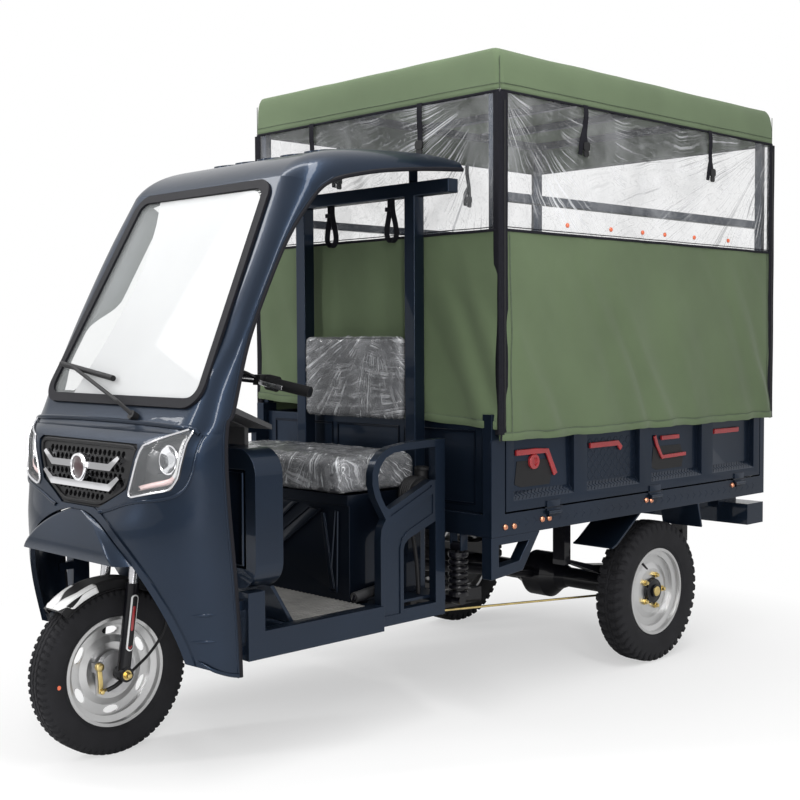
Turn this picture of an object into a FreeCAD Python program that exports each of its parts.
import FreeCAD, Part
import math
import os
import Sketcher

# A three-wheeled cargo rickshaw with an open cab, a drop-side bed and a fabric canopy.
# Lengths are millimetres. While it is modelled, X runs to the vehicle's left side, Y runs
# back from the front axle and Z is height over the ground. Each finished piece is then
# shifted along Y, so that the origin lies on the ground under the middle of the vehicle.

V = FreeCAD.Vector

SIZES = {
    "wheelbase": 2075,
    "running_gap": 0.5,
    "seat_gap": 0.3,
    # front wheel
    "front_tyre_radius": 252,
    "front_tyre_width": 97,
    "front_rim_width": 78,
    # rear wheels
    "rear_tyre_radius": 271,
    "rear_tyre_width": 110,
    "rear_rim_width": 90,
    "rear_track": 1022,
    "rim_radius": 166,
    "rim_wall": 5,
    "hub_radius": 46,
    "stud_ring": 62,
    "stud_radius": 6,
    "window_half_wide": 27,
    "window_half_high": 12,
    "hub_face": 20,
    "hub_depth": 14,
    "stub_radius": 20,
    # steering
    "rake_angle": 8,
    "head_tube_radius": 32,
    "head_tube_low": 660,
    "head_tube_high": 900,
    "stem_radius": 21,
    "fork_half": 78,
    "stanchion_radius": 15,
    "fork_leg_radius": 20,
    "fork_leg_top": 520,
    "riser_low": 1060,
    "crown_low": 606,
    "crown_thickness": 34,
    "axle_radius": 8,
    "bar_radius": 11,
    "bar_half": 418,
    "bar_height": 1150,
    "grip_radius": 17,
    "grip_length": 118,
    "mudguard_gap": 26,
    "mudguard_wall": 4,
    "mudguard_width": 110,
    "mudguard_sweep": 107,
    "mudguard_middle": 78.5,
    # cab shell
    "cab_half": 480,
    "nose_wall": 10,
    "pillar_wall": 18,
    "roof_wall": 12,
    "arch_half": 405,
    "arch_height": 752,
    "arch_lip_width": 20,
    "arch_lip_height": 6,
    "visor_low": 613,
    "visor_wall": 6,
    "nose_bottom": 291,
    "ridge_height": 985,
    "shield_bottom": 1052,
    "shield_front": 34,
    "shield_length": 755,
    "shield_slope": 26.8,
    "shield_half_low": 431,
    "shield_half_high": 355,
    "lamp_bowl": 34,
    "mesh_hole": 10,
    "mesh_pitch": 25,
    "seal_width": 30,
    "seal_depth": 22,
    "glass_thickness": 5,
    "roof_back": 1068,
    "roof_crown": 1850,
    "rib_height": 8,
    "rib_front": 600,
    "rib_width": 90,
    # cab floor and inner pieces
    "dash_half": 340,
    "floor_top": 410,
    "floor_plate": 10,
    "sill_outer": 500,
    "sill_width": 45,
    "sill_bottom": 336,
    "sill_front": 147,
    "sill_post": 60,
    "pod_front": 176,
    "pod_back": 276,
    "pod_bottom": 531,
    "pod_top": 935,
    "pod_inner": 330,
    "shield_wall": 14,
    "floor_back": 1000,
    "mat_thickness": 6,
    "panel_front": 677,
    "panel_face": 485,
    "panel_wall": 30,
    "panel_press": 4,
    "seat_box_half": 380,
    "seat_box_front": 640,
    "seat_box_back": 960,
    "seat_box_top": 755,
    "seat_box_wall": 12,
    "chevron_rise": 6,
    "cushion_half": 392,
    "cushion_front": 600,
    "cushion_back": 935,
    "cushion_high": 880,
    "backrest_half": 250,
    "backrest_low": 970,
    "backrest_high": 1255,
    "backrest_front": 990,
    "back_bar": 18,
    "post_tube": 48,
    "post_inner": 262,
    "post_back": 1053,
    "beam_low": 1726,
    "beam_high": 1772,
    # chassis
    "rail_inner": 330,
    "rail_outer": 390,
    "rail_low": 333,
    "rail_high": 383,
    "rail_front": 300,
    "rail_back": 1250,
    "cross_bar": 50,
    "lever_back": 1000,
    "neck_half": 30,
    "engine_half": 170,
    "shaft_radius": 22,
    "axle_tube_radius": 40,
    "diff_radius": 92,
    "drum_radius": 105,
    "leaf_centre": 400,
    "leaf_width": 55,
    "leaf_span": 390,
    "shock_inset": 163,
    "shock_back": 1067,
    "coil_radius": 34,
    "coil_wire": 7,
    "coil_pitch": 21,
    "shock_low": 372,
    "shock_high": 552,
    "shock_eye": 40,
    # bed
    "bed_half": 613,
    "bed_front": 1053,
    "bed_back": 2769,
    "bed_rail_low": 597,
    "bed_rail_high": 670,
    "bed_post": 66,
    "bed_post_back": 32,
    "board_wall": 40,
    "field_low": 708,
    "field_depth": 22,
    "ledge_rise": 30,
    "board_top": 970,
    "board_gap": 6,
    "bed_post_top": 1000,
    "flap_width": 183,
    "hinge_height": 655,
    "hinge_out": 8,
    "hinge_radius": 7,
    "hinge_width": 70,
    "plate_hole_radius": 3.5,
    "plate_hole_gap": 150,
    # canopy
    "canopy_over": 21,
    "canopy_front": 1072,
    "canopy_back": 2794,
    "canopy_low": 2040,
    "canopy_high": 2184,
    "canopy_cloth": 6,
    "canopy_round": 26,
    "curtain_cloth": 4,
    "curtain_hem": 913,
    "curtain_front_hem": 1015,
    "window_low": 1595,
    "canopy_tube": 30,
}


class Length:
    """A size that carries both its number and the spreadsheet expression that gives it."""

    def __init__(self, number, text):
        self.number = float(number)
        self.text = text

    def __float__(self):
        return self.number

    def __neg__(self):
        return Length(-self.number, "(-" + self.text + ")")

    def __add__(self, other):
        return Length(self.number + float(other), "(" + self.text + " + " + text_of(other) + ")")

    def __radd__(self, other):
        return self + other

    def __sub__(self, other):
        return Length(self.number - float(other), "(" + self.text + " - " + text_of(other) + ")")

    def __rsub__(self, other):
        return Length(float(other) - self.number, "(" + text_of(other) + " - " + self.text + ")")

    def __mul__(self, factor):
        return Length(self.number * float(factor), "(" + self.text + " * " + text_of(factor) + ")")

    def __rmul__(self, factor):
        return self * factor

    def __truediv__(self, factor):
        return Length(self.number / float(factor), "(" + self.text + " / " + text_of(factor) + ")")


def text_of(value):
    """The expression of a size, or the plain number."""
    return value.text if isinstance(value, Length) else repr(float(value))


def make_sheet(doc):
    """Write the driving sizes into the document's spreadsheet."""
    sheet = doc.addObject("Spreadsheet::Sheet", "Sizes")
    for row, (name, number) in enumerate(SIZES.items(), 1):
        sheet.set("A%d" % row, name)
        sheet.set("B%d" % row, str(number))
        sheet.setAlias("B%d" % row, name)
    doc.recompute()
    return sheet


doc = FreeCAD.newDocument("cargo_rickshaw")
sheet = make_sheet(doc)


class SizeBook:
    """Gives each driving size of the spreadsheet as a Length."""

    def __getattr__(self, name):
        return Length(sheet.get(name), "Sizes." + name)


s = SizeBook()
NODES = {}


# Shared ways of making solids

def bind(item, prop, value):
    """Set a property to a size, bound to the spreadsheet where it comes from there."""
    if isinstance(value, Length):
        item.setExpression(prop, value.text)
    elif "." in prop:
        item.setExpression(prop, repr(float(value)))
    else:
        setattr(item, prop, float(value))


def unique(name):
    """A label that no other object of the document has."""
    count = 1
    label = name
    while doc.getObjectsByLabel(label):
        count += 1
        label = "%s_%d" % (name, count)
    return label


def add(kind, name):
    """Add an object to the document with a label of its own."""
    item = doc.addObject(kind, name)
    item.Label = unique(name + "_part")
    return item


def box(name, x, y, z):
    """A block between two limits along each axis."""
    item = add("Part::Box", name)
    for prop, (low, high) in (("Length", x), ("Width", y), ("Height", z)):
        bind(item, prop, high - low)
    for axis, (low, high) in (("x", x), ("y", y), ("z", z)):
        bind(item, "Placement.Base." + axis, low)
    return item


AXIS_TURNS = {
    "x": FreeCAD.Rotation(V(0, 1, 0), 90),
    "y": FreeCAD.Rotation(V(1, 0, 0), -90),
    "z": FreeCAD.Rotation(),
}


def cylinder(name, start, axis, radius, length):
    """A round bar that starts at a point and runs along one axis."""
    item = add("Part::Cylinder", name)
    item.Placement = FreeCAD.Placement(V(), AXIS_TURNS[axis])
    bind(item, "Radius", radius)
    bind(item, "Height", length)
    for letter, value in zip("xyz", start):
        bind(item, "Placement.Base." + letter, value)
    return item


def fuse(name, items):
    """One solid from several that meet."""
    item = add("Part::MultiFuse", name)
    item.Shapes = list(items)
    item.Refine = True
    return item


def cut(name, base, tool):
    """The base without the tool."""
    item = add("Part::Cut", name)
    item.Base = base
    item.Tool = tool
    return item


def common(name, base, tool):
    """What two solids share."""
    item = add("Part::Common", name)
    item.Base = base
    item.Tool = tool
    return item


def together(name, items):
    """Several separate solids kept as one piece."""
    item = add("Part::Compound", name)
    item.Links = list(items)
    return item


def mirrored(name, source):
    """The same piece on the other side of the vehicle."""
    item = add("Part::Mirroring", name)
    item.Source = source
    item.Normal = V(1, 0, 0)
    item.Base = V(0, 0, 0)
    return item


def plain(name, shape):
    """A solid whose form is worked out with Part's own functions."""
    item = add("Part::Feature", name)
    item.Shape = shape
    return item


def new_body(name):
    """An empty body."""
    item = add("PartDesign::Body", name)
    return item


PLANE_ROLES = {"xy": "XY_Plane", "xz": "XZ_Plane", "yz": "YZ_Plane"}


def new_sketch(body, plane, at):
    """A sketch on one of the body's origin planes, moved along its normal to a coordinate."""
    role = PLANE_ROLES[plane]
    sketch = body.newObject("Sketcher::SketchObject", "sketch")
    support = [item for item in body.Origin.OriginFeatures if item.Role == role][0]
    sketch.AttachmentSupport = (support, [""])
    sketch.MapMode = "FlatFace"
    bind(sketch, "AttachmentOffset.Base.z", -1 * at if plane == "xz" else at)
    return sketch


def pin_point(sketch, index, end, point):
    """Tie a sketch point to its two coordinates."""
    for kind, value in zip(("DistanceX", "DistanceY"), point):
        number = sketch.addConstraint(Sketcher.Constraint(kind, -1, 1, index, end, float(value)))
        if isinstance(value, Length):
            sketch.setExpression("Constraints[%d]" % number, value.text)


def draw_outline(sketch, points):
    """A closed outline of straight lines through the points."""
    first = sketch.GeometryCount
    count = len(points)
    for index in range(count):
        start = V(float(points[index][0]), float(points[index][1]), 0)
        following = points[(index + 1) % count]
        finish = V(float(following[0]), float(following[1]), 0)
        sketch.addGeometry(Part.LineSegment(start, finish), False)
    for index in range(count):
        after = first + (index + 1) % count
        sketch.addConstraint(Sketcher.Constraint("Coincident", first + index, 2, after, 1))
        pin_point(sketch, first + index, 1, points[index])


def draw_circle(sketch, centre, radius):
    """A circle at a point."""
    middle = V(float(centre[0]), float(centre[1]), 0)
    index = sketch.addGeometry(Part.Circle(middle, V(0, 0, 1), float(radius)), False)
    number = sketch.addConstraint(Sketcher.Constraint("Radius", index, float(radius)))
    if isinstance(radius, Length):
        sketch.setExpression("Constraints[%d]" % number, radius.text)
    pin_point(sketch, index, 3, centre)


def pad_outline(body, plane, points, limits, holes=()):
    """Pad an outline between two limits along the plane's normal."""
    low, high = limits
    sketch = new_sketch(body, plane, high if plane == "xz" else low)
    draw_outline(sketch, points)
    for centre, radius in holes:
        draw_circle(sketch, centre, radius)
    pad = body.newObject("PartDesign::Pad", "pad")
    pad.Profile = sketch
    bind(pad, "Length", high - low)
    sketch.Visibility = False
    doc.recompute()
    return pad


def pocket_outline(body, plane, points, limits):
    """Cut an outline out of the body between two limits, and make sure that it cuts."""
    low, high = limits
    sketch = new_sketch(body, plane, low if plane == "xz" else high)
    draw_outline(sketch, points)
    return finish_pocket(body, sketch, high - low)


def finish_pocket(body, sketch, depth):
    """Cut a sketch into the body by a depth."""
    before = body.Shape.Volume
    pocket = body.newObject("PartDesign::Pocket", "pocket")
    pocket.Profile = sketch
    bind(pocket, "Length", depth)
    doc.recompute()
    if body.Shape.Volume > before - 1e-6:
        raise RuntimeError("a pocket cuts nothing: " + body.Label)
    return pocket


def revolve_outline(body, points):
    """Turn an outline of (along X, radius) points about the X axis."""
    sketch = new_sketch(body, "xy", 0)
    draw_outline(sketch, points)
    turn = body.newObject("PartDesign::Revolution", "turn")
    turn.Profile = sketch
    turn.ReferenceAxis = (sketch, ["H_Axis"])
    turn.Angle = 360
    doc.recompute()
    return turn


def edges_along(shape, direction):
    """Names of the straight edges that run along a direction."""
    names = []
    for index, edge in enumerate(shape.Edges, 1):
        if edge.Curve.TypeId == "Part::GeomLine":
            if edge.tangentAt(edge.FirstParameter).cross(direction).Length < 1e-4:
                names.append("Edge%d" % index)
    return names


def edges_where(shape, test):
    """Names of the edges whose middle passes a test."""
    names = []
    for index, edge in enumerate(shape.Edges, 1):
        middle = edge.valueAt((edge.FirstParameter + edge.LastParameter) / 2)
        if test(edge, middle):
            names.append("Edge%d" % index)
    return names


def round_edges(body, names, radius):
    """Fillet edges of the body's last feature."""
    base = body.Tip
    fillet = body.newObject("PartDesign::Fillet", "fillet")
    fillet.Base = (base, names)
    bind(fillet, "Radius", radius)
    doc.recompute()
    return fillet


def pipe(name, points, radius, bend):
    """A round tube through points, its corners bent to a radius."""
    path = bent_path(points, bend)
    start = path.Edges[0].valueAt(path.Edges[0].FirstParameter)
    direction = path.Edges[0].tangentAt(path.Edges[0].FirstParameter)
    ring = Part.Wire([Part.Circle(start, direction, float(radius)).toShape()])
    return plain(name, path.makePipeShell([ring], True, False))


def bent_path(points, bend):
    """A wire of straight runs joined by tangent arcs."""
    corners = [V(*[float(value) for value in point]) for point in points]
    edges = []
    start = corners[0]
    for before, corner, after in zip(corners, corners[1:], corners[2:]):
        back = (before - corner).normalize()
        ahead = (after - corner).normalize()
        half = back.getAngle(ahead) / 2
        reach = float(bend) / math.tan(half)
        enter = corner + back * reach
        leave = corner + ahead * reach
        middle_way = (back + ahead).normalize()
        centre = corner + middle_way * (float(bend) / math.sin(half))
        top = centre - middle_way * float(bend)
        edges.append(Part.LineSegment(start, enter).toShape())
        edges.append(Part.Arc(enter, top, leave).toShape())
        start = leave
    edges.append(Part.LineSegment(start, corners[-1]).toShape())
    return Part.Wire(edges)


def node(name, item):
    """Name a finished piece and list it for export."""
    item.Label = name
    NODES[name] = item
    return item


def centre_shift():
    """How far every piece moves forward, so that the origin lies under the middle."""
    return (s.front_tyre_radius - s.canopy_back) / 2


# Places that several pieces share

def head_point(height):
    """Y of the steering axis at a height."""
    lean = math.tan(math.radians(float(s.rake_angle)))
    return (float(height) - float(s.front_tyre_radius)) * lean


def rake_turn():
    """The lean of the steering axis, as a rotation about X."""
    return FreeCAD.Rotation(V(1, 0, 0), -float(s.rake_angle))


def on_steering_axis(name, low, high, radius):
    """A round bar on the steering axis, between two heights."""
    start = V(0, head_point(low), float(low))
    finish = V(0, head_point(high), float(high))
    return plain(name, Part.makeCylinder(float(radius), (finish - start).Length, start, finish - start))


# Wheels

def tyre(name, radius, width, rim_width, place):
    """A tyre: bead, bulging walls, rounded shoulders and crown."""
    body = new_body(name)
    bead = s.rim_radius - s.rim_wall + s.seat_gap
    foot = rim_width / 2 - s.rim_wall - s.seat_gap
    half = width / 2
    outline = [
        (-foot, bead), (foot, bead), (foot, s.rim_radius + 1),
        (0.86 * half, s.rim_radius + 10), (half, s.rim_radius + 38),
        (0.9 * half, radius - 9), (0.6 * half, radius),
        (-0.6 * half, radius), (-0.9 * half, radius - 9),
        (-half, s.rim_radius + 38), (-0.86 * half, s.rim_radius + 10), (-foot, s.rim_radius + 1),
    ]
    revolve_outline(body, outline)
    wall = float(s.rim_radius + 38)
    shoulder = float(radius - 9)
    rings = edges_where(body.Shape, lambda edge, middle: near_radius(edge, wall))
    round_edges(body, rings, 18)
    rings = edges_where(body.Shape, lambda edge, middle: near_radius(edge, shoulder))
    round_edges(body, rings, 6)
    move_to(body, place)
    return node(name, body)


def near_radius(edge, radius):
    """Whether an edge is a circle of a radius."""
    return hasattr(edge.Curve, "Radius") and abs(edge.Curve.Radius - radius) < 0.1


def move_to(item, place):
    """Place a body at a point, bound to the sizes."""
    for letter, value in zip("xyz", place):
        bind(item, "Placement.Base." + letter, value)


def rim_outline(width, well_place, hub, bore):
    """Half section of a pressed steel rim: flanges, a drop well, the disc inside it and its hub."""
    half = width / 2
    outer = s.rim_radius
    wall = s.rim_wall
    barrel = s.rim_radius - wall
    well = s.rim_radius - 24
    inner = well - wall
    return [
        (-half, outer), (-half + wall, outer), (-half + wall, barrel),
        (well_place - 16, barrel), (well_place - 10, well), (well_place + 10, well),
        (well_place + 16, barrel), (half - wall, barrel), (half - wall, outer), (half, outer),
        (half, barrel - wall), (well_place + 19, barrel - wall), (well_place + 13, inner),
        (well_place + 3, inner), (well_place + 3, 0.75 * well), (hub, 0.6 * well),
        (hub, bore), (hub - wall, bore), (hub - wall, 0.57 * well),
        (well_place - 3, 0.72 * well), (well_place - 3, inner), (well_place - 13, inner),
        (well_place - 19, barrel - wall), (-half, barrel - wall),
    ]


def front_wheel():
    """Front tyre, its rim with oval holes, and the hub on the axle."""
    place = (0, 0, s.front_tyre_radius)
    tyre("front_tyre", s.front_tyre_radius, s.front_tyre_width, s.front_rim_width, place)
    body = new_body("front_rim")
    revolve_outline(body, rim_outline(s.front_rim_width, 2, 12, s.axle_radius + 6))
    middle = 0.85 * (s.rim_radius - 24)
    oval = []
    for index in range(12):
        turn = math.radians(30 * index + 15)
        oval.append((s.window_half_wide * math.cos(turn), middle + s.window_half_high * math.sin(turn)))
    pocket_outline(body, "yz", oval, (-10, 20))
    windows = body.Tip
    ring = body.newObject("PartDesign::PolarPattern", "windows")
    ring.Originals = [windows]
    ring.Axis = ([item for item in body.Origin.OriginFeatures if item.Role == "X_Axis"][0], [""])
    ring.Angle = 360
    ring.Occurrences = 6
    body.Tip = ring
    doc.recompute()
    move_to(body, place)
    node("front_rim", body)
    hub = cylinder("hub_barrel", (-40, 0, s.front_tyre_radius), "x", s.hub_radius, 40 + 12 - s.rim_wall)
    bore = cylinder("hub_bore", (-60, 0, s.front_tyre_radius), "x", s.axle_radius + s.running_gap, 120)
    node("front_hub", cut("front_hub", hub, bore))


def rear_wheel(side):
    """One rear wheel: tyre, stepped rim and hub with studs; side is 1 on the left, -1 on the right."""
    suffix = "left" if side > 0 else "right"
    centre = side * s.rear_track / 2
    place = (centre, s.wheelbase, s.rear_tyre_radius)
    tyre("rear_tyre_" + suffix, s.rear_tyre_radius, s.rear_tyre_width, s.rear_rim_width, place)
    rim = new_body("rear_rim")
    revolve_outline(rim, rim_outline(s.rear_rim_width, 10, s.hub_face, s.stub_radius + s.running_gap))
    if side < 0:
        rim = mirrored("rear_rim", rim)
    move_to(rim, place)
    node("rear_rim_" + suffix, rim)
    drum = cylinder("hub_drum", (s.hub_face, 0, 0), "x", s.hub_radius, s.hub_depth)
    bore = cylinder("hub_bore", (s.hub_face - 1, 0, 0), "x", s.stub_radius + s.running_gap, s.hub_depth + 2)
    cap = cylinder("hub_cap", (s.hub_face + s.hub_depth, 0, 0), "x", 0.55 * s.hub_radius, 10)
    hub = fuse("hub", [cut("hub_ring", drum, bore), cap])
    studs = []
    for index in range(5):
        turn = math.radians(72 * index)
        start = (s.hub_face, s.stud_ring * math.cos(turn), s.stud_ring * math.sin(turn))
        studs.append(cylinder("stud", start, "x", s.stud_radius, 16))
    hub = together("rear_hub", [hub] + studs)
    if side < 0:
        hub = mirrored("rear_hub", hub)
    move_to(hub, place)
    node("rear_hub_" + suffix, hub)


# Steering

def fork():
    """Stem, crowns and stanchions, then the lower legs with the axle."""
    stem = on_steering_axis("stem", s.crown_low + 4, s.riser_low, s.stem_radius)
    low = crown("lower_crown", s.crown_low)
    high = crown("upper_crown", s.head_tube_high + 12)
    pieces = [stem, low, high]
    for side in (1, -1):
        pieces.append(leg("stanchion", side, float(s.fork_leg_top) - 60, float(s.head_tube_high) + 40,
                          s.stanchion_radius))
    node("fork_crowns", fuse("fork_crowns", pieces))
    legs = []
    for side in (1, -1):
        outer = leg("fork_leg", side, 236, float(s.fork_leg_top), s.fork_leg_radius)
        bore = leg("leg_bore", side, float(s.fork_leg_top) - 60.3, float(s.fork_leg_top) + 10,
                   s.stanchion_radius + s.seat_gap)
        boss = cylinder("axle_boss", (side * 78 - 22, 0, s.front_tyre_radius), "x", 22, 44)
        legs.append(fuse("leg", [cut("leg", outer, bore), boss]))
    axle_length = 2 * s.fork_half + 44
    start = (-0.5 * axle_length, 0, s.front_tyre_radius)
    axle = cylinder("front_axle", start, "x", s.axle_radius, axle_length)
    node("fork_legs", fuse("fork_legs", legs + [axle]))


def leg(name, side, low, high, radius):
    """A round bar parallel to the steering axis, beside the wheel."""
    lean = math.radians(float(s.rake_angle))
    axis = V(0, math.sin(lean), math.cos(lean))
    start = V(side * float(s.fork_half), head_point(low), low)
    length = (high - low) / math.cos(lean)
    return plain(name, Part.makeCylinder(float(radius), length, start, axis))


def crown(name, height):
    """A clamp plate across both fork tubes."""
    plate = Part.makeBox(2 * float(s.fork_half) + 50, 62, float(s.crown_thickness))
    plate.translate(V(-float(s.fork_half) - 25, -31, 0))
    edges = [edge for edge in plate.Edges if abs(edge.tangentAt(0).z) > 0.9]
    plate = plate.makeFillet(24, edges)
    plate.Placement = FreeCAD.Placement(V(0, head_point(height), float(height)), rake_turn())
    return plain(name, plate)


def handlebar():
    """A swept-back bar on the stem, with grips and switch blocks."""
    height = float(s.bar_height)
    half = float(s.bar_half)
    route = [
        (half, 450, height - 62), (250, 396, height - 28), (110, 210, height),
        (60, 125, height - 20), (-60, 125, height - 20), (-110, 210, height),
        (-250, 396, height - 28), (-half, 450, height - 62),
    ]
    bar = pipe("bar", route, s.bar_radius, 30)
    riser = on_steering_axis("riser", s.riser_low, s.bar_height - 20, s.stem_radius + 6)
    node("handlebar", fuse("handlebar", [bar, riser]))
    grips = []
    for side in (1, -1):
        end = V(side * half, 450, height - 62)
        inner = V(side * 250, 396, height - 28)
        along = (inner - end).normalize()
        sleeve = Part.makeCylinder(float(s.grip_radius), float(s.grip_length), end, along)
        block = Part.makeCylinder(24, 34, end + along * (float(s.grip_length)), along)
        reach = float(s.grip_length) + 80
        bore = Part.makeCylinder(float(s.bar_radius + s.seat_gap), reach, end - along, along)
        grips.append(plain("grip", sleeve.fuse(block).cut(bore)))
    node("grips", together("grips", grips))


def mudguard():
    """A curved guard over the front tyre, with its stays."""
    body = new_body("front_mudguard")
    inner = s.front_tyre_radius + s.mudguard_gap
    outer = inner + s.mudguard_wall
    half = s.mudguard_width / 2
    outline = [
        (-half, inner - 26), (-half + 4, inner - 26), (-half + 8, inner - 6), (-half + 22, inner),
        (half - 22, inner), (half - 8, inner - 6), (half - 4, inner - 26), (half, inner - 26),
        (half - 3, outer - 4), (half - 20, outer), (-half + 20, outer), (-half + 3, outer - 4),
    ]
    sketch = new_sketch(body, "xy", 0)
    draw_outline(sketch, outline)
    turn = body.newObject("PartDesign::Revolution", "turn")
    turn.Profile = sketch
    turn.ReferenceAxis = (sketch, ["H_Axis"])
    turn.Angle = float(s.mudguard_sweep)
    doc.recompute()
    middle = turn.Shape.CenterOfMass
    start = math.degrees(math.atan2(middle.z, middle.y))
    body.Placement = FreeCAD.Placement(V(), FreeCAD.Rotation(V(1, 0, 0), float(s.mudguard_middle) - start))
    move_to(body, (0, 0, s.front_tyre_radius))
    bosses = []
    for side in (1, -1):
        reach = s.fork_half - s.fork_leg_radius - s.seat_gap
        start = reach - 7 if side > 0 else -1 * reach
        bosses.append(cylinder("boss", (start, head_point(508), 508), "x", 9, 7))
    return node("front_mudguard", fuse("front_mudguard", [body] + bosses))


def brake_plate():
    """The fixed brake plate on the left of the front hub, with its lever."""
    plate = cylinder("plate", (20, 0, s.front_tyre_radius), "x", 62, 26)
    bore = cylinder("plate_bore", (10, 0, s.front_tyre_radius), "x", s.axle_radius + s.seat_gap, 60)
    lever = box("lever", (46, 52), (-76, -60), (196, 286))
    pivot = cylinder("lever_pivot", (40, -68, 276), "x", 9, 16)
    ear = box("ear", (30, 46), (-78, -30), (262, 290))
    node("front_brake_plate", fuse("front_brake_plate", [cut("plate", plate, bore), ear, pivot, lever]))


# Cab shell

class Bow:
    """A cross section of the cab shell: a flat front, two elliptic corners and an open back."""

    def __init__(self, edge, front, half, corner):
        self.edge = V(0, *edge)
        self.front = V(0, *front)
        self.half = half
        self.corner = corner

    def wire(self, inset, back):
        """The closed outline, moved in by an inset and reaching past the open back."""
        forward = (self.front - self.edge).normalize()
        depth = (self.front - self.edge).Length - inset
        half = self.half - inset
        corner = self.corner - inset

        def point(x, along):
            return self.edge + forward * along + V(x, 0, 0)

        left = corner_curve([point(half, 0), point(half, depth), point(half - corner, depth)])
        flat = Part.LineSegment(point(half - corner, depth), point(corner - half, depth)).toShape()
        right = corner_curve([point(corner - half, depth), point(-half, depth), point(-half, 0)])
        across = Part.LineSegment(point(-half, -back), point(half, -back)).toShape()
        if back == 0:
            return Part.Wire([left, flat, right, across])
        down = Part.LineSegment(point(-half, 0), point(-half, -back)).toShape()
        up = Part.LineSegment(point(half, -back), point(half, 0)).toShape()
        return Part.Wire([left, flat, right, down, across, up])


def corner_curve(poles):
    """A quarter ellipse between two walls."""
    curve = Part.BezierCurve()
    curve.setPoles(poles)
    curve.setWeight(2, math.sqrt(0.5))
    return curve.toShape()


def bow_solid(bows, inset, back):
    """The solid through a row of cross sections."""
    return Part.makeLoft([bow.wire(inset, back) for bow in bows], True, False)


def nose_bows():
    """Cross sections of the nose, from its lower edge up to the ridge under the windshield."""
    half = float(s.cab_half)
    top = float(s.ridge_height)
    return [
        Bow((131, 270), (-36, 270), half, 300),
        Bow((127, 400), (-72, 400), half, 300),
        Bow((119, 510), (-94, 510), half, 300),
        Bow((110, 620), (-106, 620), half, 300),
        Bow((100, 720), (-104, 720), half, 290),
        Bow((93, 800), (-82, 800), half, 240),
        Bow((88, 880), (-76, 880), half, 215),
        Bow((87, 943), (-66, 943), half, 195),
        Bow((90, top), (-30, top), half, 180),
    ]


def shield_point(along, depth):
    """A point given by its way up the windshield and its depth behind the glass plane."""
    slope = math.radians(float(s.shield_slope))
    y = float(s.shield_front) + along * math.sin(slope) + depth * math.cos(slope)
    z = float(s.shield_bottom) + along * math.cos(slope) - depth * math.sin(slope)
    return (y, z)


def shield_bow(along, depth, half, corner):
    """A cross section square to the windshield."""
    return Bow(shield_point(along, depth), shield_point(along, 0), half, corner)


def surround_bows():
    """Cross sections from the ridge up both pillars to the top of the windshield."""
    half = float(s.cab_half)
    top = float(s.ridge_height)
    return [
        Bow((90, top), (-30, top), half, 180),
        Bow((96, 1020), (17, 1020), half, 110),
        shield_bow(30, 74, half, 84),
        shield_bow(187, 44, half - 3, 70),
        shield_bow(300, 34, half - 6, 66),
        shield_bow(480, 34, half - 10, 66),
        shield_bow(590, 42, half - 12, 72),
        shield_bow(680, 60, half - 12, 84),
        shield_bow(float(s.shield_length) + 8, 84, half - 12, 96),
    ]


def roof_bows():
    """Cross sections of the roof, from the windshield's top to its back edge."""
    half = float(s.cab_half)
    back = float(s.roof_back)
    return [
        shield_bow(float(s.shield_length) + 8, 84, half - 12, 96),
        Bow((512, 1727), (446, 1790), half - 10, 110),
        Bow((612, 1752), (580, 1832), half - 8, 120),
        Bow((734, 1773), (724, 1848), half - 6, 130),
        Bow((902, 1791), (900, 1856), half - 5, 130),
        Bow((back, 1803), (back, float(s.roof_crown)), half - 5, 130),
    ]


def arch_tool(grow):
    """The wheel arch in the front of the nose, as a solid to cut away, grown by a little."""
    base = float(s.nose_bottom) - 10
    height = float(s.arch_height) - base + grow
    radius = float(s.arch_half) + grow
    tool = Part.makeCylinder(1, 260, V(0, 60, 0), V(0, -1, 0))
    tool = tool.copy()
    matrix = FreeCAD.Matrix()
    matrix.scale(radius, 1, height)
    tool = tool.transformGeometry(matrix)
    tool.translate(V(0, 0, base))
    return tool


GRILLE = [(276, 942), (264, 954), (-264, 954), (-276, 942), (-234, 824), (-104, 762), (104, 762), (234, 824)]
GUIDE = [(423, 984), (408, 980), (398, 892), (378, 862), (270, 836), (272, 820), (388, 846), (414, 882)]
LAMP = [(300, 952), (436, 1006), (434, 936), (420, 864), (398, 830), (254, 802), (248, 818)]


def front_prism(outline, grow):
    """A block along Y with an outline seen from the front, grown or shrunk a little."""
    points = [V(x, -200, z) for x, z in outline]
    wire = Part.makePolygon(points + points[:1])
    if abs(grow) > 1e-6:
        wire = wire.makeOffset2D(grow)
    return Part.Face(wire).extrude(V(0, 400, 0))


def mirror_x(shape):
    """A shape on the other side of the vehicle."""
    return shape.mirror(V(), V(1, 0, 0))


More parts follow.
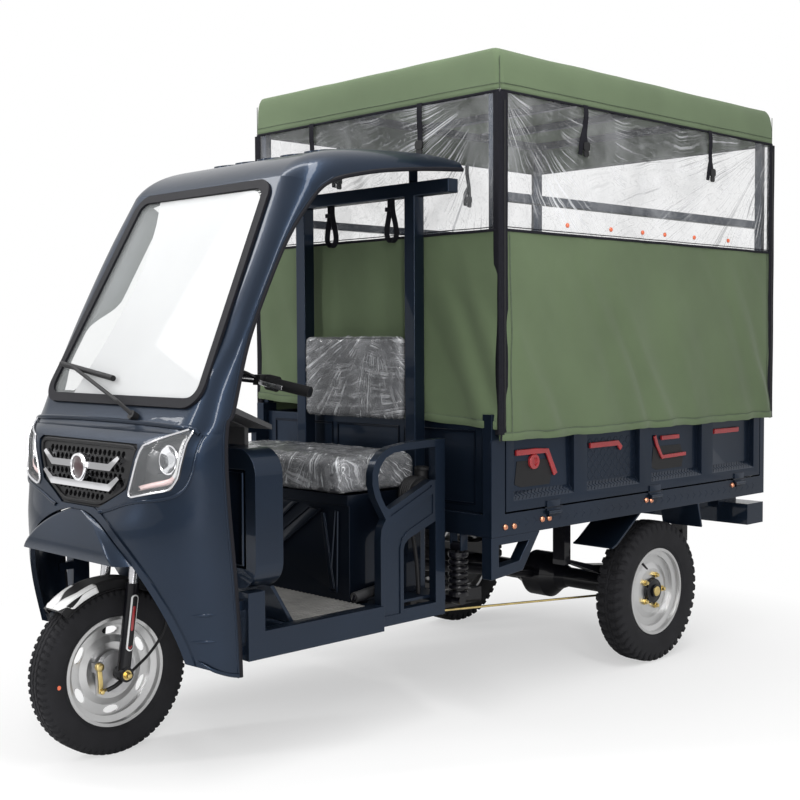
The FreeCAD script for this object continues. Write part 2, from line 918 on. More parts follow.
def nose():
    """The nose shell with its wheel arch, and what is set into its front."""
    bows = nose_bows()
    outer = bow_solid(bows, 0, 0)
    inner = bow_solid(bows, float(s.nose_wall), 40)
    below = Part.makePolygon([V(-600, -300, 200), V(-600, -300, 420), V(-600, -35, 352),
                              V(-600, 60, 316), V(-600, 200, 270), V(-600, 200, 200), V(-600, -300, 200)])
    skirt = Part.Face(below).extrude(V(1200, 0, 0))
    grille_hole = front_prism(GRILLE, float(s.seat_gap))
    lamp_hole = front_prism(LAMP, float(s.seat_gap))
    lip = arch_tool(float(s.arch_lip_width)).common(bow_solid(bows, -float(s.arch_lip_height), 0))
    shell = outer.fuse(lip).cut(inner)
    shell = shell.cut([arch_tool(0), skirt, grille_hole, lamp_hole, mirror_x(lamp_hole)])
    solid = outer.fuse(bow_solid(bows, 0, 80))
    for low in (352, 482):
        tab = Part.makeBox(24, float(s.sill_front) - 96, 26, V(float(s.cab_half) - 25, 96, low)).common(solid)
        shell = shell.fuse([tab, mirror_x(tab)])
    node("nose_shell", plain("nose_shell", shell))
    set_in_nose(bows, outer)


def set_in_nose(bows, outer):
    """The grille panel and the headlamps, which follow the shell's curve."""
    inner_grille = bow_solid(bows, 26, 40)
    face = bow_solid(bows, 8, 0)
    panel = front_prism(GRILLE, 0).common(face).cut(inner_grille)
    panel = panel.cut(mesh_holes())
    node("grille_panel", plain("grille_panel", panel))
    inner_lamp = bow_solid(bows, 50, 40)
    lamp = front_prism(LAMP, 0).common(outer).cut(inner_lamp)
    floor = bow_solid(bows, 34, 40)
    lamp = lamp.cut(front_prism(LAMP, -8).cut(floor))
    guide = front_prism(GUIDE, 0).common(bow_solid(bows, 16, 0)).cut(inner_lamp)
    bowl = Part.makeCylinder(float(s.lamp_bowl), 400, V(330, 200, 905), V(0, -1, 0))
    bowl = bowl.common(bow_solid(bows, 20, 0)).cut(inner_lamp)
    lamp = lamp.fuse([guide, bowl])
    node("headlamps", together("headlamps", [plain("headlamp", lamp), plain("headlamp", mirror_x(lamp))]))
    bar_face = bow_solid(bows, -13, 0)
    bars = []
    for low in (878, 820):
        wing = [(214, low + 32), (202, low + 39), (156, low + 14), (-156, low + 14), (-202, low + 39),
                (-214, low + 32), (-164, low - 6), (164, low - 6)]
        bars.append(front_prism(wing, 0))
    ring = Part.makeCylinder(42, 400, V(0, 200, 874), V(0, -1, 0))
    hollow = Part.makeCylinder(33, 400, V(0, 200, 874), V(0, -1, 0))
    trim = bars[0].fuse([bars[1], ring]).common(bar_face).cut(face)
    hollow = hollow.common(bow_solid(bows, -20, 0)).cut(bow_solid(bows, 2, 0))
    node("grille_bars", plain("grille_bars", trim.cut(hollow)))


def mesh_holes():
    """Rows of six-sided holes inside the grille's frame."""
    size = float(s.mesh_hole)
    pitch = float(s.mesh_pitch)
    holes = []
    for row in range(7):
        z = 790 + row * 0.87 * pitch
        reach = min(112 + 2.1 * (z - 790), 205)
        count = int(2 * reach / pitch) + 1 - (row % 2)
        for index in range(count):
            x = (index - (count - 1) / 2) * pitch
            turns = [math.radians(60 * corner) for corner in range(6)]
            corners = [(x + size * math.cos(turn), z + size * math.sin(turn)) for turn in turns]
            holes.append(front_prism(corners, 0))
    return holes


def visor():
    """The hooded apron that fills the top of the wheel arch and bulges forward."""
    base = float(s.nose_bottom) - 10
    rise = float(s.arch_height) - base
    low = float(s.visor_low)
    step = (float(s.arch_height) - low) / 5
    bows = []
    for index, front in enumerate((-140, -142, -137, -128, -116)):
        z = low + index * step
        half = (float(s.arch_half) + 5) * math.sqrt(1 - ((z - base) / rise) ** 2)
        bows.append(Bow((-70 + 4 * index, z), (front, z), half, 46))
    top = float(s.arch_height) - 3
    bows.append(Bow((-52, top), (-104, top), 60, 40))
    body = bow_solid(bows, 0, 0).cut(bow_solid(bows, float(s.visor_wall), 40))
    bows = nose_bows()
    gap = float(s.seat_gap)
    shell = bow_solid(bows, -float(s.arch_lip_height) - gap, 0)
    shell = shell.cut(bow_solid(bows, float(s.nose_wall) + gap, 60))
    shell = shell.cut(arch_tool(-float(s.seat_gap)))
    node("nose_visor", plain("nose_visor", body.cut(shell)))


def surround():
    """Pillars and header round the windshield, the seal and the glass."""
    bows = surround_bows()
    shell = bow_solid(bows, 0, 0).cut(bow_solid(bows, float(s.pillar_wall), 60))
    hole = shield_block(float(s.seat_gap), -60, 160)
    node("windshield_surround", plain("windshield_surround", shell.cut(hole)))
    depth = float(s.seal_depth)
    ring = shield_block(0, -8, depth - 8).cut(shield_block(-float(s.seal_width), -20, depth + 10))
    node("windshield_seal", plain("windshield_seal", ring))
    glass = shield_block(-float(s.seal_width), 0, float(s.glass_thickness))
    node("windshield_glass", plain("windshield_glass", glass))


def shield_block(grow, front, back):
    """A block with the windshield's rounded outline, between two depths behind the glass plane."""
    low = float(s.shield_half_low) + grow
    high = float(s.shield_half_high) + grow
    length = float(s.shield_length)
    corners = [V(-low, 0, -grow), V(low, 0, -grow), V(high, 0, length + grow), V(-high, 0, length + grow)]
    prism = Part.Face(Part.makePolygon(corners + corners[:1])).extrude(V(0, back - front, 0))
    edges = [edge for edge in prism.Edges if abs(edge.tangentAt(edge.FirstParameter).y) > 0.9]
    prism = prism.makeFillet(70 + grow, edges)
    prism.translate(V(0, front, 0))
    turn = FreeCAD.Rotation(V(1, 0, 0), -float(s.shield_slope))
    place = V(0, float(s.shield_front), float(s.shield_bottom))
    prism.Placement = FreeCAD.Placement(place, turn).multiply(prism.Placement)
    return prism


def roof():
    """The cab roof with its long raised ribs."""
    bows = roof_bows()
    skin = bow_solid(bows, 0, 0)
    proud = bow_solid(bows[2:], -float(s.rib_height), 0)
    start = float(s.rib_front)
    length = float(s.roof_back) - start
    wide = float(s.rib_width)
    for x in (-285, -165, -45, 75, 195):
        rib = Part.makeBox(wide, length, 400, V(x, start, 1700))
        edges = [edge for edge in rib.Edges if abs(edge.tangentAt(edge.FirstParameter).z) > 0.9
                 and edge.valueAt(edge.FirstParameter).y < start + 1]
        skin = skin.fuse(rib.makeFillet(0.45 * wide, edges).common(proud))
    shell = skin.cut(bow_solid(bows, float(s.roof_wall), 60))
    hole = shield_block(float(s.seat_gap), -60, 160)
    node("roof_shell", plain("roof_shell", shell.cut(hole)))


def wiper():
    """The wiper: a pivot on the cowl, its arm, and the blade on the glass."""
    shell = bow_solid(surround_bows(), 0, 0)
    pivot = Part.makeCylinder(14, 40, V(140, 34, 1010), V(0, -0.86, 0.51))
    slope = math.radians(float(s.shield_slope))
    away = V(0, -math.cos(slope), math.sin(slope))
    blade_from = V(*glass_point(-384, 126)) + away * 17.3
    blade_to = V(*glass_point(-40, 80)) + away * 17.3
    elbow = blade_from + (blade_to - blade_from) * 0.25 + away * 6
    arm = bent_path([V(140, 4, 1030), V(84, -10, 1068), elbow], 16)
    ring = Part.Wire([Part.Circle(V(140, 4, 1030), arm.Edges[0].tangentAt(0), 6).toShape()])
    arm = arm.makePipeShell([ring], True, False)
    way = blade_to - blade_from
    blade = Part.makeCylinder(9, way.Length, blade_from, way)
    node("wiper", plain("wiper", pivot.cut(shell).fuse([arm, blade])))


def glass_point(x, along):
    """A point on the front of the glass, given by X and its way up from the seal's lower edge."""
    y, z = shield_point(along, 0)
    return (x, y, z)


# Cab floor and what stands on it

def cab_floor():
    """Floor plate, side sills and the front posts that carry the leg shield."""
    inner = s.sill_outer - s.sill_width
    plate = box("floor_plate", (-inner, inner), (s.rail_front + 32, s.floor_back),
                (s.floor_top - s.floor_plate, s.floor_top))
    pieces = [plate]
    for side in (1, -1):
        x = (inner, s.sill_outer) if side > 0 else (-s.sill_outer, -inner)
        pieces.append(box("sill", x, (s.sill_front, s.panel_front), (s.sill_bottom, s.floor_top + 5)))
        y = (s.sill_front, s.sill_front + s.sill_post)
        pieces.append(box("sill_post", x, y, (s.sill_bottom, s.pod_bottom)))
    z = (s.rail_high, s.floor_top - s.floor_plate)
    for y in (s.rail_front + 34, s.seat_box_front, s.floor_back - s.cross_bar):
        pieces.append(box("floor_bar", (-inner, inner), (y, y + s.cross_bar), z))
    node("cab_floor", fuse("cab_floor", pieces))
    mat = box("floor_mat", (-inner + 4, inner - 4), (s.pod_back + 80, s.seat_box_front - 2),
              (s.floor_top, s.floor_top + s.mat_thickness))
    node("floor_mat", mat)


def leg_shield():
    """Two storage pods beside the steering column, the wall between them and its lower slope."""
    pieces = []
    for side in (1, -1):
        body = new_body("pod")
        near = side * s.pod_inner
        far = side * s.sill_outer
        pad_outline(body, "xz", [(near, s.pod_bottom), (far, s.pod_bottom), (far, s.pod_top),
                                 (near, s.pod_top)], (s.pod_front, s.pod_back))
        outer = float(far)
        names = edges_where(body.Shape, lambda edge, middle: abs(middle.x - outer) < 1
                            and abs(middle.y - float(s.pod_front + s.pod_back) / 2) < 5)
        round_edges(body, names, 78)
        inset = side * 16
        pocket_outline(body, "xz", [(near + inset, s.pod_bottom + 60), (far - 3 * inset, s.pod_bottom + 60),
                                    (far - 3 * inset, s.pod_top - 60), (near + inset, s.pod_top - 60)],
                       (s.pod_front, s.pod_back - s.shield_wall))
        pieces.append(body)
    wall = box("wall", (-s.pod_inner, s.pod_inner), (s.pod_back - s.shield_wall, s.pod_back),
               (s.pod_bottom, s.pod_top))
    slope = new_body("slope")
    inner = s.sill_outer - s.sill_width - 1
    outline = [(s.pod_back - s.shield_wall, s.pod_bottom), (s.pod_back, s.pod_bottom),
               (s.pod_back + 76, s.floor_top), (s.pod_back + 62, s.floor_top)]
    pad_outline(slope, "yz", outline, (-inner, inner))
    node("leg_shield", fuse("leg_shield", pieces + [wall, slope]))


def dashboard():
    """The dash between windshield and leg shield, with a slot for the steering column."""
    body = new_body("dashboard")
    outline = [(32, 1012), (48, 1040), (66, 1066), (100, 1090), (130, 1062), (s.pod_back, 1000),
               (s.pod_back, s.pod_top), (s.pod_back - s.shield_wall, s.pod_top),
               (s.pod_back - s.shield_wall, 988), (130, 1044), (100, 1070), (80, 1052), (46, 1012)]
    pad_outline(body, "yz", outline, (-s.dash_half, s.dash_half))
    wing = [(104, 1085), (130, 1062), (s.pod_back, 1000), (s.pod_back, 986), (130, 1044), (104, 1067)]
    wings = new_body("dash_wings")
    pad_outline(wings, "yz", wing, (-s.dash_half - 112, s.dash_half + 112))
    slot = box("column_slot", (-45, 45), (70, 190), (940, 1140))
    node("dashboard", cut("dashboard", fuse("dash", [body, wings]), slot))


def side_panels():
    """The guard panels beside the seat, each with a grab loop and a window."""
    body = new_body("side_panel")
    face = s.panel_face
    wall = s.panel_wall
    outline = [(s.panel_front, 345), (s.panel_front, 624), (681, 652), (690, 668), (700, 682), (676, 720),
               (655, 756), (643, 796), (644, 834), (658, 868), (684, 893), (722, 909), (798, 918),
               (877, 921), (968, 922), (966, 345)]
    pad_outline(body, "yz", outline, (face - wall, face))
    loop = [(924, 898), (798, 895), (738, 890), (702, 876), (680, 852), (668, 822), (671, 786),
            (682, 754), (700, 724), (715, 714), (901, 790), (924, 790)]
    pocket_outline(body, "yz", loop, (face - wall, face))
    window = [(777, 389), (777, 578), (783, 596), (800, 611), (923, 656), (923, 389)]
    pocket_outline(body, "yz", window, (face - wall, face))
    band = [(694, 377), (694, 591), (701, 626), (719, 656), (749, 674), (912, 745), (912, 682),
            (796, 636), (772, 615), (762, 583), (762, 377)]
    pocket_outline(body, "yz", band, (face - s.panel_press, face))
    rail = [(722, 690), (905, 768), (905, 776), (722, 700)]
    pocket_outline(body, "yz", rail, (face - s.panel_press, face))
    node("side_panels", together("side_panels", [body, mirrored("side_panel", body)]))


def seat():
    """Seat box, cushion and backrest."""
    half = s.seat_box_half
    wall = s.seat_box_wall
    outer = box("seat_box", (-half, half), (s.seat_box_front, s.seat_box_back), (s.floor_top, s.seat_box_top))
    inner = box("seat_room", (-half + wall, half - wall), (s.seat_box_front + wall, s.seat_box_back + 10),
                (s.floor_top - 10, s.seat_box_top - wall))
    front = new_body("seat_front")
    chevrons = [
        [(-250, 700), (-190, 700), (0, 575), (190, 700), (250, 700), (0, 535)],
        [(-130, 712), (-100, 712), (0, 645), (100, 712), (130, 712), (0, 622)],
        [(-310, 450), (-290, 450), (-250, 690), (-262, 690)],
        [(310, 450), (262, 690), (250, 690), (290, 450)],
    ]
    for outline in chevrons:
        pad_outline(front, "xz", outline, (s.seat_box_front - s.chevron_rise, s.seat_box_front + 1))
    lock = cylinder("lock", (0, s.seat_box_front - 12, 690), "y", 14, 14)
    lip = box("lip", (-half, half), (s.seat_box_front - s.chevron_rise, s.seat_box_front + 1),
              (s.seat_box_top - 34, s.seat_box_top))
    node("seat_box", fuse("seat_box", [cut("seat_shell", outer, inner), front, lock, lip]))
    body = new_body("seat_cushion")
    wide = s.cushion_half
    pad_outline(body, "xy", [(-wide, s.cushion_front), (wide, s.cushion_front), (wide, s.cushion_back),
                             (-wide, s.cushion_back)], (s.seat_box_top + s.seat_gap, s.cushion_high))
    round_edges(body, edges_along(body.Shape, V(0, 0, 1)), 40)
    top = float(s.cushion_high)
    round_edges(body, edges_where(body.Shape, lambda edge, middle: abs(middle.z - top) < 1), 25)
    node("seat_cushion", body)
    back = new_body("backrest")
    wide = s.backrest_half
    outline = [(-wide, s.backrest_low), (wide, s.backrest_low), (wide, s.backrest_high),
               (-wide, s.backrest_high)]
    pad_outline(back, "xz", outline, (s.backrest_front, s.post_back - s.back_bar - s.seat_gap))
    round_edges(back, edges_along(back.Shape, V(0, 1, 0)), 40)
    node("backrest", back)


def rear_frame():
    """The square posts and beams behind the seat that carry the roof."""
    y = (s.post_back - s.post_tube, s.post_back)
    pieces = []
    for side in (1, -1):
        x = (s.post_inner, s.post_inner + s.post_tube)
        if side < 0:
            x = (-s.post_inner - s.post_tube, -s.post_inner)
        pieces.append(box("post", x, y, (s.rail_high, s.beam_high)))
    half = s.cab_half - 12
    pieces.append(box("beam", (-half, half), y, (s.beam_low, s.beam_high)))
    for low in (s.backrest_low + 30, s.backrest_high - 60):
        pieces.append(box("back_bar", (-s.post_inner, s.post_inner), (s.post_back - s.back_bar, s.post_back),
                          (low, low + 30)))
    for side in (1, -1):
        middle = side * (s.post_inner + s.post_tube / 2)
        pieces.append(box("roof_tab", (middle - 20, middle + 20), (s.post_back - 30, s.post_back - 24),
                          (s.beam_high, s.roof_crown - s.roof_wall - 2.5)))
    node("cab_rear_frame", fuse("cab_rear_frame", pieces))


def power_unit():
    """Engine block, air cleaner and drive shaft."""
    half = s.engine_half
    node("engine", box("engine", (-half, half), (700, 940), (s.floor_top, 700)))
    canister = cylinder("canister", (398, 896, 740), "x", 58, 50)
    neck = cylinder("neck", (423, 920, 770), "z", 22, 60)
    bracket = box("bracket", (s.seat_box_half, 399), (870, 922), (700, 740))
    node("air_cleaner", fuse("air_cleaner", [canister, neck, bracket]))
    start = V(0, 944.6, 470)
    way = V(0, float(s.wheelbase), float(s.rear_tyre_radius)) - start
    length = way.Length - float(s.diff_radius) - float(s.seat_gap)
    node("drive_shaft", plain("drive_shaft", Part.makeCylinder(float(s.shaft_radius), length, start, way)))


# Chassis

def main_frame():
    """Head tube, neck and the two long rails with their cross members."""
    head = on_steering_axis("head_tube", s.head_tube_low, s.head_tube_high, s.head_tube_radius)
    bore = on_steering_axis("head_bore", s.head_tube_low - 20, s.head_tube_high + 40,
                            s.stem_radius + s.running_gap)
    neck = new_body("neck")
    outline = [(66, 700), (92, 872), (140, 866), (200, 760), (240, 620), (258, 531), (332, 383),
               (332, 340), (284, 340), (276, 390), (212, 500), (180, 590), (130, 670)]
    pad_outline(neck, "yz", outline, (-s.neck_half, s.neck_half))
    pieces = [head, neck]
    for side in (1, -1):
        x = (s.rail_inner, s.rail_outer) if side > 0 else (-s.rail_outer, -s.rail_inner)
        pieces.append(box("rail", x, (s.rail_front, s.rail_back), (s.rail_low, s.rail_high)))
    wide = (-s.rail_outer, s.rail_outer)
    for y in (s.rail_front, s.seat_box_front, s.post_back - s.cross_bar, s.rail_back - s.cross_bar):
        pieces.append(box("cross_bar", wide, (y, y + s.cross_bar), (s.rail_low, s.rail_high)))
    for side in (1, -1):
        x = (s.rail_outer, (s.bed_half - s.shock_inset) - s.shock_eye / 2 - s.seat_gap)
        if side < 0:
            x = (-1 * x[1], -1 * x[0])
        reach = s.rail_outer + 59
        lever = (s.rail_outer, reach) if side > 0 else (-reach, -s.rail_outer)
        pieces.append(box("brake_lever", lever, (s.lever_back - 12, s.lever_back),
                          (s.rail_low, s.rail_low + 24)))
        pieces.append(box("shock_pin", x, (s.shock_back - 14, s.shock_back + 14),
                          (s.shock_low - 12, s.shock_low + 12)))
    node("main_frame", cut("main_frame", fuse("frame", pieces), bore))


def rear_axle():
    """Axle tube with its differential housing, brake drums and the stubs that carry the wheels."""
    plate = s.rear_track / 2 - 22
    drum = plate - 50
    reach = s.rear_track / 2 + s.hub_face + s.hub_depth - s.running_gap
    tube = s.axle_tube_radius
    bulge = s.diff_radius
    body = new_body("rear_axle")
    half = [(reach, 0), (reach, s.stub_radius), (plate, s.stub_radius), (plate, s.drum_radius),
            (drum, s.drum_radius), (drum, tube), (bulge + 40, tube), (bulge, 0.6 * bulge),
            (0.5 * bulge, bulge)]
    other = [(-1 * along, radius) for along, radius in reversed(half)]
    revolve_outline(body, half + other)
    move_to(body, (0, s.wheelbase, s.rear_tyre_radius))
    node("rear_axle", body)


def leaf_springs():
    """Leaf packs over the axle, each with its eyes, hangers and U-bolts."""
    pieces = []
    for side in (1, -1):
        centre = side * s.leaf_centre
        x = (centre - s.leaf_width / 2, centre + s.leaf_width / 2)
        pieces.append(leaf_pack(x))
    node("leaf_springs", together("leaf_springs", pieces))


def leaf_pack(x):
    """One pack of leaves as an arched stack, shorter leaves below, and its two hangers."""
    body = new_body("leaf_pack")
    y = s.wheelbase
    seat_height = s.rear_tyre_radius + s.axle_tube_radius
    span = s.leaf_span
    outline = [
        (y - span, seat_height + 118), (y - 0.6 * span, seat_height + 76), (y, seat_height + 48),
        (y + 0.6 * span, seat_height + 76), (y + span, seat_height + 118), (y + span, seat_height + 108),
        (y + 0.8 * span, seat_height + 82), (y + 0.5 * span, seat_height + 40), (y + 50, seat_height),
        (y - 50, seat_height), (y - 0.5 * span, seat_height + 40), (y - 0.8 * span, seat_height + 82),
        (y - span, seat_height + 108),
    ]
    pad_outline(body, "yz", outline, x)
    for end in (y - span, y + span):
        pad_outline(body, "yz", [(end - 18, seat_height + 96), (end + 18, seat_height + 96),
                                 (end + 18, s.bed_rail_low), (end - 18, s.bed_rail_low)], x)
    return body


def shock_absorbers():
    """Coil-over dampers in front of the bed, each coil drawn as a stack of rings."""
    pieces = []
    for side in (1, -1):
        centre = side * (s.bed_half - s.shock_inset)
        half = s.shock_eye / 2
        low = cylinder("low_eye", (centre - half, s.shock_back, s.shock_low), "x", 16, s.shock_eye)
        core = s.coil_radius - 2 * s.coil_wire + 1
        rod = cylinder("rod", (centre, s.shock_back, s.shock_low + 14), "z", core, s.shock_high - s.shock_low - 40)
        stem = cylinder("stem", (centre, s.shock_back, s.shock_low), "z", 10, s.shock_high - s.shock_low)
        seats = [cylinder("spring_seat", (centre, s.shock_back, z), "z", s.coil_radius, 8)
                 for z in (s.shock_low + 14, s.shock_high - 26)]
        rings = []
        for index in range(7):
            ring = add("Part::Torus", "coil")
            bind(ring, "Radius1", s.coil_radius - s.coil_wire)
            bind(ring, "Radius2", s.coil_wire)
            z = s.shock_low + 24 + index * s.coil_pitch
            for letter, value in zip("xyz", (centre, s.shock_back, z)):
                bind(ring, "Placement.Base." + letter, value)
            rings.append(ring)
        high = cylinder("high_eye", (centre - half, s.shock_back, s.shock_high), "x", 16, s.shock_eye)
        pieces.append(fuse("shock", [low, rod, stem, high] + seats + rings))
    node("shock_absorbers", together("shock_absorbers", pieces))


def brake_rods():
    """The long brake rods from the levers on the chassis to the rear drums."""
    x = float(s.rail_outer) + 55
    start = V(x, float(s.lever_back) + 0.6, float(s.rail_low) + 12)
    finish = V(x, float(s.wheelbase) - float(s.drum_radius) - 0.4, float(s.rear_tyre_radius) - 9)
    way = finish - start
    rod = Part.makeCylinder(4, way.Length, start, way)
    rods = [plain("brake_rod", rod), plain("brake_rod", mirror_x(rod))]
    node("brake_rods", together("brake_rods", rods))


# Bed

def bed():
    """Bed floor and rail, its corner posts, and the fixed front board."""
    half = s.bed_half
    outer = (-half, half)
    rail = box("bed_rail", outer, (s.bed_front, s.bed_back), (s.bed_rail_low, s.bed_rail_high))
    room = box("bed_room", (-half + 46, half - 46), (s.bed_front + 46, s.bed_back - 46),
               (s.bed_rail_low - 1, s.bed_rail_high - 14))
    over = box("bed_over", (-half + 46, half - 46), (s.bed_front + 46, s.bed_back - 46),
               (s.bed_rail_high - 4, s.bed_rail_high + 1))
    pieces = [cut("rail", cut("rail", rail, room), over)]
    for index in range(5):
        y = s.bed_front + 260 + index * 300
        pieces.append(box("bed_bar", (-half + 40, half - 40), (y, y + 40),
                          (s.bed_rail_low, s.bed_rail_high - 10)))
    for side in (1, -1):
        centre = side * s.leaf_centre
        pieces.append(box("runner", (centre - s.leaf_width / 2, centre + s.leaf_width / 2),
                          (s.bed_front + 40, s.bed_back - 40), (s.bed_rail_low, s.bed_rail_high - 14)))
        for cheek in (1, -1):
            near = side * (s.bed_half - s.shock_inset) + cheek * (s.shock_eye / 2 + s.seat_gap)
            far = near + cheek * 6
            x = (near, far) if cheek > 0 else (far, near)
            pieces.append(box("shock_ear", x, (s.bed_front, s.shock_back + 20),
                              (s.shock_high - 12, s.bed_rail_low)))
    for side in (1, -1):
        x = (half - s.board_wall, half) if side > 0 else (-half, -half + s.board_wall)
        z = (s.bed_rail_high - 1, s.bed_post_top)
        pieces.append(box("front_post", x, (s.bed_front, s.bed_front + s.bed_post), z))
        pieces.append(box("back_post", x, (s.bed_back - s.bed_post_back, s.bed_back), z))
    node("bed_frame", fuse("bed_frame", pieces))
    wall = s.board_wall
    front = box("front_board", (-half + wall, half - wall), (s.bed_front + 22, s.bed_front + 22 + wall),
                (s.bed_rail_high, s.board_top))
    node("bed_front_board", front)


def side_board(side):
    """One drop side: a pressed panel with four sunk fields, and its hinge knuckles."""
    suffix = "left" if side > 0 else "right"
    y = (s.bed_front + s.bed_post + s.board_gap, s.bed_back - s.bed_post_back - s.board_gap)
    z = (s.bed_rail_high + s.board_gap, s.board_top)
    face = s.bed_half
    body = new_body("board")
    outline = [(y[0], z[0]), (y[1], z[0]), (y[1], z[1]), (y[0], z[1])]
    pad_outline(body, "yz", outline, (face - s.board_wall, face))
    for start, end in ((1163, 1485), (1558, 1877), (1954, 2294), (2374, 2685)):
        low = s.field_low
        high = s.board_top - 20
        sink_field(body, (start, end), (low, high), face)
    pieces = [body]
    axis_x = s.bed_half + s.hinge_out
    for place in (1332, 1937, 2532):
        knuckle = cylinder("knuckle", (axis_x, place, s.hinge_height), "y", s.hinge_radius, s.hinge_width)
        strap = box("strap", (s.bed_half, s.bed_half + 5), (place, place + s.hinge_width),
                    (s.hinge_height, s.hinge_height + 40))
        pieces += [knuckle, strap]
    board = fuse("side_board", pieces)
    if side < 0:
        board = mirrored("side_board", board)
    node("side_board_" + suffix, board)


def sink_field(body, along, upright, face):
    """A sunk field in a board's outer face, with a sloping ledge along its foot."""
    start, end = along
    low, high = upright
    ledge = low + s.ledge_rise
    floor = face - s.field_depth
    pocket_outline(body, "yz", [(start, ledge), (end, ledge), (end, high), (start, high)], (floor, face))
    wedge = [(face + 1, low), (face + 1, ledge + 1), (floor, ledge + 1), (floor, ledge)]
    pocket_outline(body, "xz", wedge, (start, end))


def tailgate():
    """The drop board at the back, with three sunk fields and its hinge knuckles."""
    half = s.bed_half - s.board_wall - s.board_gap
    face = s.bed_back
    body = new_body("gate")
    low = s.bed_rail_high + s.board_gap
    pad_outline(body, "xz", [(-half, low), (half, low), (half, s.board_top), (-half, s.board_top)],
                (face - s.board_wall, face))
    third = 2 * half / 3
    for index in range(3):
        start = -half + index * third + 40
        end = -half + (index + 1) * third - 40
        pocket_outline(body, "xz", [(start, s.field_low), (end, s.field_low), (end, s.board_top - 20),
                                    (start, s.board_top - 20)], (face - s.field_depth, face))
    pieces = [body]
    axis_y = s.bed_back + s.hinge_out
    for place in (-400, -35, 330):
        start = (place, axis_y, s.hinge_height)
        pieces.append(cylinder("knuckle", start, "x", s.hinge_radius, s.hinge_width))
        pieces.append(box("strap", (place, place + s.hinge_width), (s.bed_back, s.bed_back + 5),
                          (s.hinge_height, s.hinge_height + 40)))
    node("tailgate", fuse("tailgate", pieces))


def under_bed():
    """Wheel flaps, step brackets, the rear bumper and its lamps."""
    half = s.bed_half
    flaps = []
    steps = []
    for side in (1, -1):
        flap = new_body("front_flap")
        limits = (half - s.flap_width, half - 3) if side > 0 else (3 - half, s.flap_width - half)
        slope = [(1880, 597), (1740, 500), (1713, 488), (1716, 482), (1744, 492), (1892, 597)]
        pad_outline(flap, "yz", slope, limits)
        back = new_body("rear_flap")
        pad_outline(back, "yz", [(2272, 597), (2300, 500), (2308, 502), (2284, 597)], limits)
        flaps += [flap, back]
        step = new_body("step")
        limits = (half - 44, half) if side > 0 else (-half, 44 - half)
        pad_outline(step, "yz", [(1053, 597), (1053, 458), (1210, 473), (1300, 597)], limits)
        pocket_outline(step, "yz", [(1090, 570), (1090, 498), (1192, 508), (1240, 570)], limits)
        steps.append(step)
    node("wheel_flaps", together("wheel_flaps", flaps))
    node("step_brackets", together("step_brackets", steps))
    bar = box("bumper_bar", (-half, half), (2640, 2764), (474, 560))
    legs = [box("bumper_leg", (x, x + 50), (2600, 2740), (540, s.bed_rail_low)) for x in (-500, 450)]
    holes = [cylinder("plate_hole", (x, 2740, 517), "y", s.plate_hole_radius, 30)
             for x in (-s.plate_hole_gap / 2, s.plate_hole_gap / 2)]
    node("rear_bumper", cut("rear_bumper", fuse("bumper", [bar] + legs), together("plate_holes", holes)))
    lamps = [box("tail_lamp", (x, x + 130), (2764, 2780), (490, 545)) for x in (-560, 430)]
    node("tail_lamps", together("tail_lamps", lamps))


# Canopy

def canopy():
    """Tube frame, fabric roof, curtains and clear windows."""
    tube = s.canopy_tube
    outer = s.bed_half - 6
    front = s.bed_front + 26
    back = s.bed_back - s.bed_post_back
    top = s.canopy_high - s.canopy_cloth - s.seat_gap
    pieces = []
    rear = (back, back + tube)
    ahead = (front, front + tube)
    for side in (1, -1):
        x = (outer - tube, outer) if side > 0 else (-outer, -outer + tube)
        for y in (ahead, rear):
            pieces.append(box("canopy_post", x, y, (s.bed_post_top, top)))
        for height in (top - tube, s.window_low + 100):
            pieces.append(box("side_rail", x, (front, back + tube), (height, height + tube)))
    for y in (ahead, rear):
        pieces.append(box("end_rail", (-outer, outer), y, (top - tube, top)))
    for y in (1515, 1947, 2318):
        pieces.append(box("roof_bow", (-outer, outer), (y, y + tube), (top - tube, top)))
    room = canopy_block("frame_room", s.canopy_cloth + s.seat_gap, s.bed_post_top - 10)
    node("canopy_frame", common("canopy_frame", fuse("tubes", pieces), room))
    canopy_top()
    canopy_walls()


def canopy_top():
    """The fabric roof: a shallow cap with rounded edges, open below."""
    outer = canopy_block("canopy_skin", 0, s.canopy_low)
    inner = canopy_block("canopy_room", s.canopy_cloth, s.canopy_low - 20)
    node("canopy_top", cut("canopy_top", outer, inner))


def canopy_block(name, inset, low):
    """The canopy's rounded outer form, or its inner form at an inset."""
    half = (s.bed_half + s.canopy_over) - inset
    front = s.canopy_front + inset
    back = s.canopy_back - inset
    body = new_body(name)
    pad_outline(body, "xy", [(-half, front), (half, front), (half, back), (-half, back)],
                (low, s.canopy_high - inset))
    round_edges(body, edges_along(body.Shape, V(0, 0, 1)), s.canopy_round - inset)
    top = float(s.canopy_high - inset)
    names = edges_where(body.Shape, lambda edge, middle: abs(middle.z - top) < 1)
    round_edges(body, names, s.canopy_round - 2 - inset)
    return body


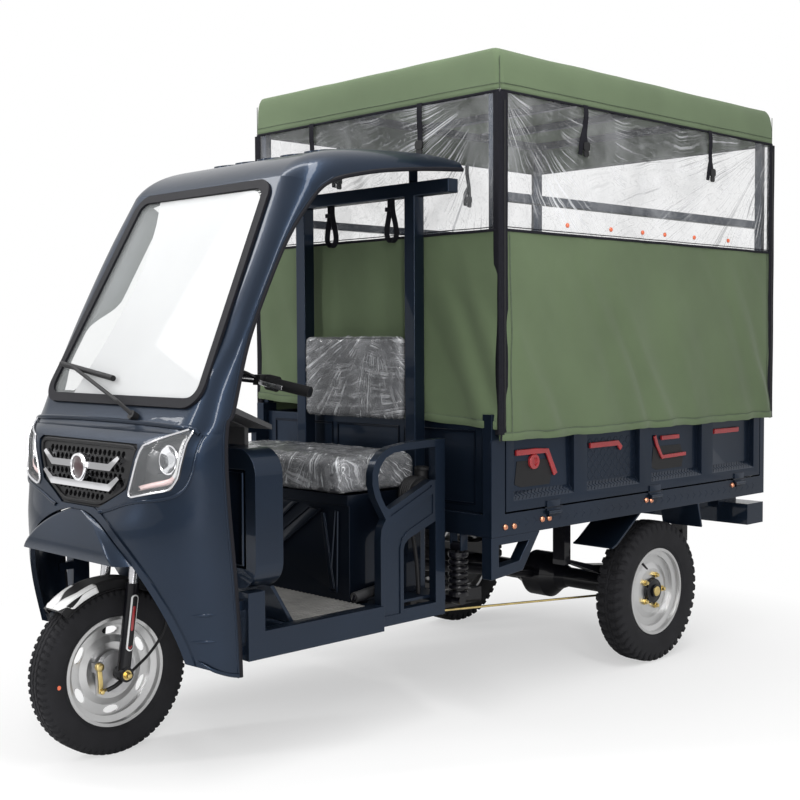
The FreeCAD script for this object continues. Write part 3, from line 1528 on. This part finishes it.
def canopy_walls():
    """Green curtains below and clear windows above, on all four sides."""
    cloth = s.curtain_cloth
    face = (s.bed_half + s.canopy_over) - 2
    front = s.canopy_front
    back = s.canopy_back
    green = (s.curtain_hem, s.window_low)
    clear = (s.window_low, s.canopy_low)
    side_y = (front, back)
    for side, suffix in ((1, "left"), (-1, "right")):
        x = (face - cloth, face) if side > 0 else (-face, -face + cloth)
        node("curtain_" + suffix, box("curtain", x, side_y, green))
    across = (-face + cloth, face - cloth)
    node("curtain_front", box("curtain", across, (front, front + cloth), (s.curtain_front_hem, s.window_low)))
    node("curtain_rear", box("curtain", across, (back - cloth, back), green))
    panes = [
        box("pane", (face - cloth, face), side_y, clear),
        box("pane", (-face, -face + cloth), side_y, clear),
        box("pane", across, (front, front + cloth), clear),
        box("pane", across, (back - cloth, back), clear),
    ]
    node("canopy_windows", together("canopy_windows", panes))


def hanging_straps():
    """Two strap loops under the beam behind the driver."""
    loops = []
    for x in (-146, 167):
        low = s.beam_low - 146
        outer = box("strap", (x - 22, x + 22), (1040, 1044), (low, s.beam_low))
        inner = box("strap_gap", (x - 12, x + 12), (1030, 1050), (low + 12, s.beam_low - 50))
        loops.append(cut("strap", outer, inner))
    node("hanging_straps", together("hanging_straps", loops))


def build():
    """Build every piece."""
    front_wheel()
    rear_wheel(1)
    rear_wheel(-1)
    fork()
    handlebar()
    mudguard()
    brake_plate()
    nose()
    visor()
    surround()
    roof()
    wiper()
    cab_floor()
    leg_shield()
    dashboard()
    side_panels()
    seat()
    rear_frame()
    power_unit()
    main_frame()
    rear_axle()
    leaf_springs()
    shock_absorbers()
    brake_rods()
    bed()
    side_board(1)
    side_board(-1)
    tailgate()
    under_bed()
    canopy()
    hanging_straps()


def shift_all():
    """Move every finished piece from the front axle's frame to the part's own."""
    shift = centre_shift()
    for item in NODES.values():
        bound = dict(item.ExpressionEngine)
        still = repr(item.Placement.Base.y)
        place = bound.get(".Placement.Base.y", bound.get("Placement.Base.y", still))
        item.setExpression("Placement.Base.y", place + " + " + shift.text)


def export():
    """Check every object, then write each piece to its own file."""
    for item in doc.Objects:
        if "Invalid" in item.State or "Error" in item.State:
            raise RuntimeError("failed: %s %s" % (item.Label, item.State))
    broken = [name for name, item in NODES.items() if item.Shape.isNull() or not item.Shape.isValid()]
    if broken:
        raise RuntimeError("bad shapes: " + ", ".join(broken))
    os.makedirs("parts", exist_ok=True)
    for name, item in NODES.items():
        item.Shape.exportStep("parts/%s.step" % name)


build()
doc.recompute()
shift_all()
doc.recompute()
export()
print("%d pieces" % len(NODES))
